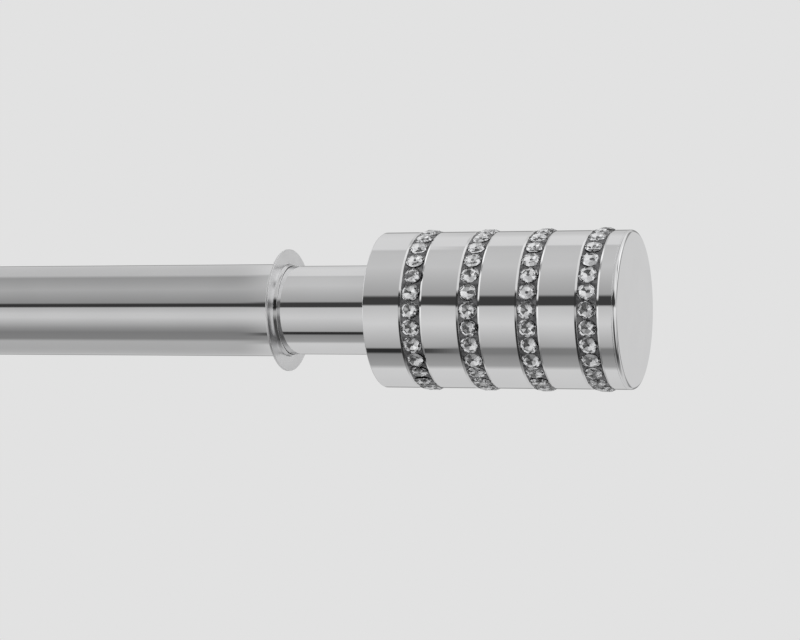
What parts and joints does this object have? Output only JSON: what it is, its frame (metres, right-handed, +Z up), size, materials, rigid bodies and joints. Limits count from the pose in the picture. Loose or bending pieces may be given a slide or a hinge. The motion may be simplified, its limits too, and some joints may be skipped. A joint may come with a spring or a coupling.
{
  "type": "extendable curtain rod",
  "caption": "Telescoping metal curtain rod: an inner tube slides and turns in an outer tube with a thin stop collar, and each end carries a barrel finial with bands of clear crystals.",
  "frame": {"origin": "on the rod's axis, half way between the faces of the two end caps, with the rod almost closed", "axes": "+X along the rod towards the end that slides out, -Y towards the room, +Z up"},
  "size_m": [0.8744, 0.043, 0.043],
  "materials": {
    "tube_nickel": "polished nickel plate",
    "collar_metal": "satin plate",
    "finial_chrome": "polished plate",
    "setting_metal": "darkened strip",
    "crystal": "cut and foiled",
    "nylon": "moulded",
    "fixing_steel": "zinc plate"
  },
  "bodies": {
    "outer": {"outer_tube": "tube_nickel", "stop_collar": "collar_metal", "left_barrel": "finial_chrome", "left_end_cap": "finial_chrome", "left_tube_insert": "nylon", "left_stud": "fixing_steel", "left_nut": "fixing_steel", "left_setting_strip_1": "setting_metal", "left_crystal_row_1": "crystal", "left_setting_strip_2": "setting_metal", "left_crystal_row_2": "crystal", "left_setting_strip_3": "setting_metal", "left_crystal_row_3": "crystal", "left_setting_strip_4": "setting_metal", "left_crystal_row_4": "crystal"},
    "guide": {"guide_plug": "nylon"},
    "inner": {"inner_tube": "tube_nickel", "right_barrel": "finial_chrome", "right_end_cap": "finial_chrome", "right_tube_insert": "nylon", "right_stud": "fixing_steel", "right_nut": "fixing_steel", "right_setting_strip_1": "setting_metal", "right_crystal_row_1": "crystal", "right_setting_strip_2": "setting_metal", "right_crystal_row_2": "crystal", "right_setting_strip_3": "setting_metal", "right_crystal_row_3": "crystal", "right_setting_strip_4": "setting_metal", "right_crystal_row_4": "crystal"}
  },
  "joints": [
    {"name": "rod_extend", "type": "slide", "parent": "outer", "child": "guide", "axis": [1, 0, 0], "range_m": [-0.025, 0.483]},
    {"name": "rod_twist", "type": "hinge", "parent": "guide", "child": "inner", "pos_m": [-0.2685, 0, 0], "axis": [1, 0, 0], "continuous": true}
  ]
}
